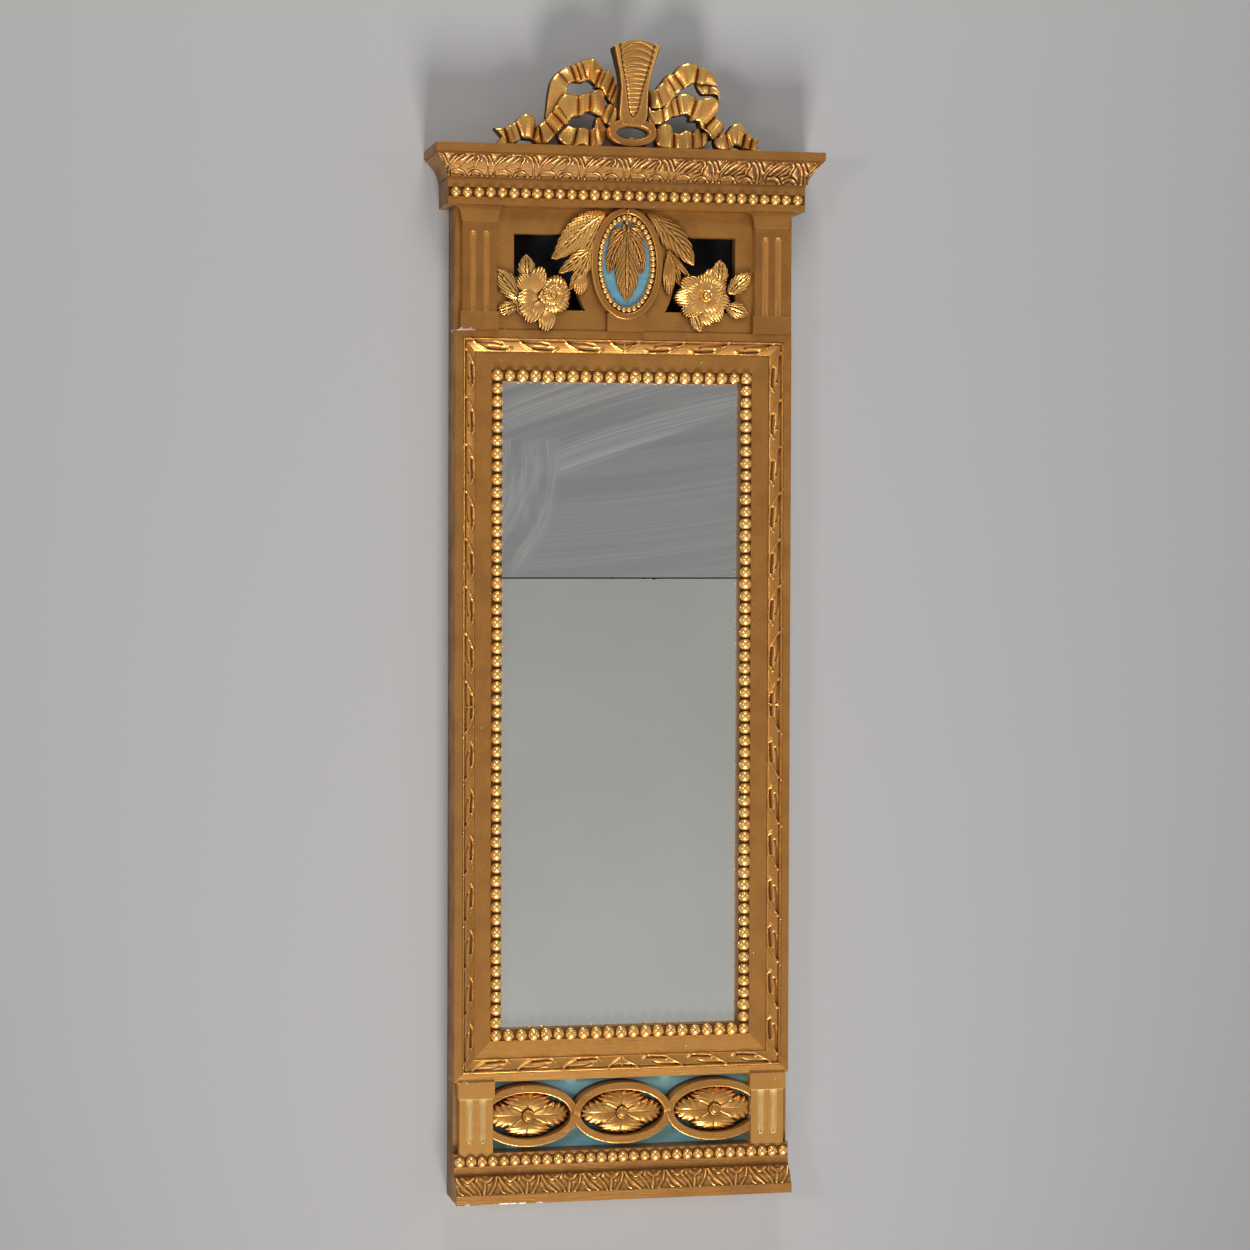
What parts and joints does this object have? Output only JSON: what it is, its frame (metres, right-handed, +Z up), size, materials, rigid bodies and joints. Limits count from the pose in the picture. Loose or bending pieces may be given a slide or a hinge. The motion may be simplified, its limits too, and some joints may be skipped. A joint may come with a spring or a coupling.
{
  "type": "wall mirror",
  "caption": "Tall gilded neoclassical wall mirror with a pierced frieze, oval medallion, carved ribbon bow crest and blue base panel.",
  "frame": {"origin": "middle of the lower back rail's back face, on the wall plane, 20 mm above the underside", "axes": "+X to the right seen from the room, +Y into the wall, +Z up"},
  "size_m": [0.378, 0.058, 1.091],
  "materials": {
    "gilded_wood": "worn water gilding on carved wood",
    "bare_pine": "aged unpainted pine",
    "blue_paint": "matte light blue paint",
    "dark_paint": "dark matte paint",
    "old_mirror": "old mirror glass with wiping marks and worn silvering",
    "clear_mirror": "mirror glass",
    "steel": "dull steel"
  },
  "bodies": {
    "mirror": {"backing_board": "bare_pine", "base_beads": "gilded_wood", "base_front_board": "gilded_wood", "base_moulding": "gilded_wood", "base_panel": "blue_paint", "base_pilaster_left": "gilded_wood", "base_pilaster_right": "gilded_wood", "beads_bottom": "gilded_wood", "beads_left": "gilded_wood", "beads_right": "gilded_wood", "beads_top": "gilded_wood", "bottom_board": "bare_pine", "capitals": "gilded_wood", "cornice_beads": "gilded_wood", "cornice_front": "gilded_wood", "cornice_returns": "gilded_wood", "crest_bow_left": "gilded_wood", "crest_bow_right": "gilded_wood", "crest_horn": "gilded_wood", "crest_ring": "gilded_wood", "cross_rails": "bare_pine", "flower_left": "gilded_wood", "flower_right": "gilded_wood", "frame_rail_bottom": "gilded_wood", "frame_rail_top": "gilded_wood", "frame_stile_left": "gilded_wood", "frame_stile_right": "gilded_wood", "frieze_back": "dark_paint", "frieze_panel": "gilded_wood", "frieze_pilaster_left": "gilded_wood", "frieze_pilaster_right": "gilded_wood", "glazing_points": "steel", "guilloche": "gilded_wood", "hanger_screws": "steel", "hanger_strap": "steel", "hanging_batten": "bare_pine", "leaf_spray_left": "gilded_wood", "leaf_spray_right": "gilded_wood", "lower_back_rail": "bare_pine", "lower_glass": "clear_mirror", "lower_side_left": "gilded_wood", "lower_side_right": "gilded_wood", "medallion_beads": "gilded_wood", "medallion_block": "gilded_wood", "medallion_ground": "blue_paint", "medallion_leaf": "gilded_wood", "medallion_rim": "gilded_wood", "middle_side_left": "gilded_wood", "middle_side_right": "gilded_wood", "plinths": "gilded_wood", "ribbon_bottom": "gilded_wood", "ribbon_left": "gilded_wood", "ribbon_right": "gilded_wood", "ribbon_top": "gilded_wood", "rosettes": "gilded_wood", "top_board": "bare_pine", "upper_glass": "old_mirror", "upper_side_left": "gilded_wood", "upper_side_right": "gilded_wood"},
    "hanging_ring": {"hanging_ring": "steel"}
  },
  "joints": [
    {"name": "ring_swing", "type": "hinge", "parent": "mirror", "child": "hanging_ring", "pos_m": [0, -0.0066, 0.935], "axis": [1, 0, 0], "range_deg": [0, 180]}
  ]
}
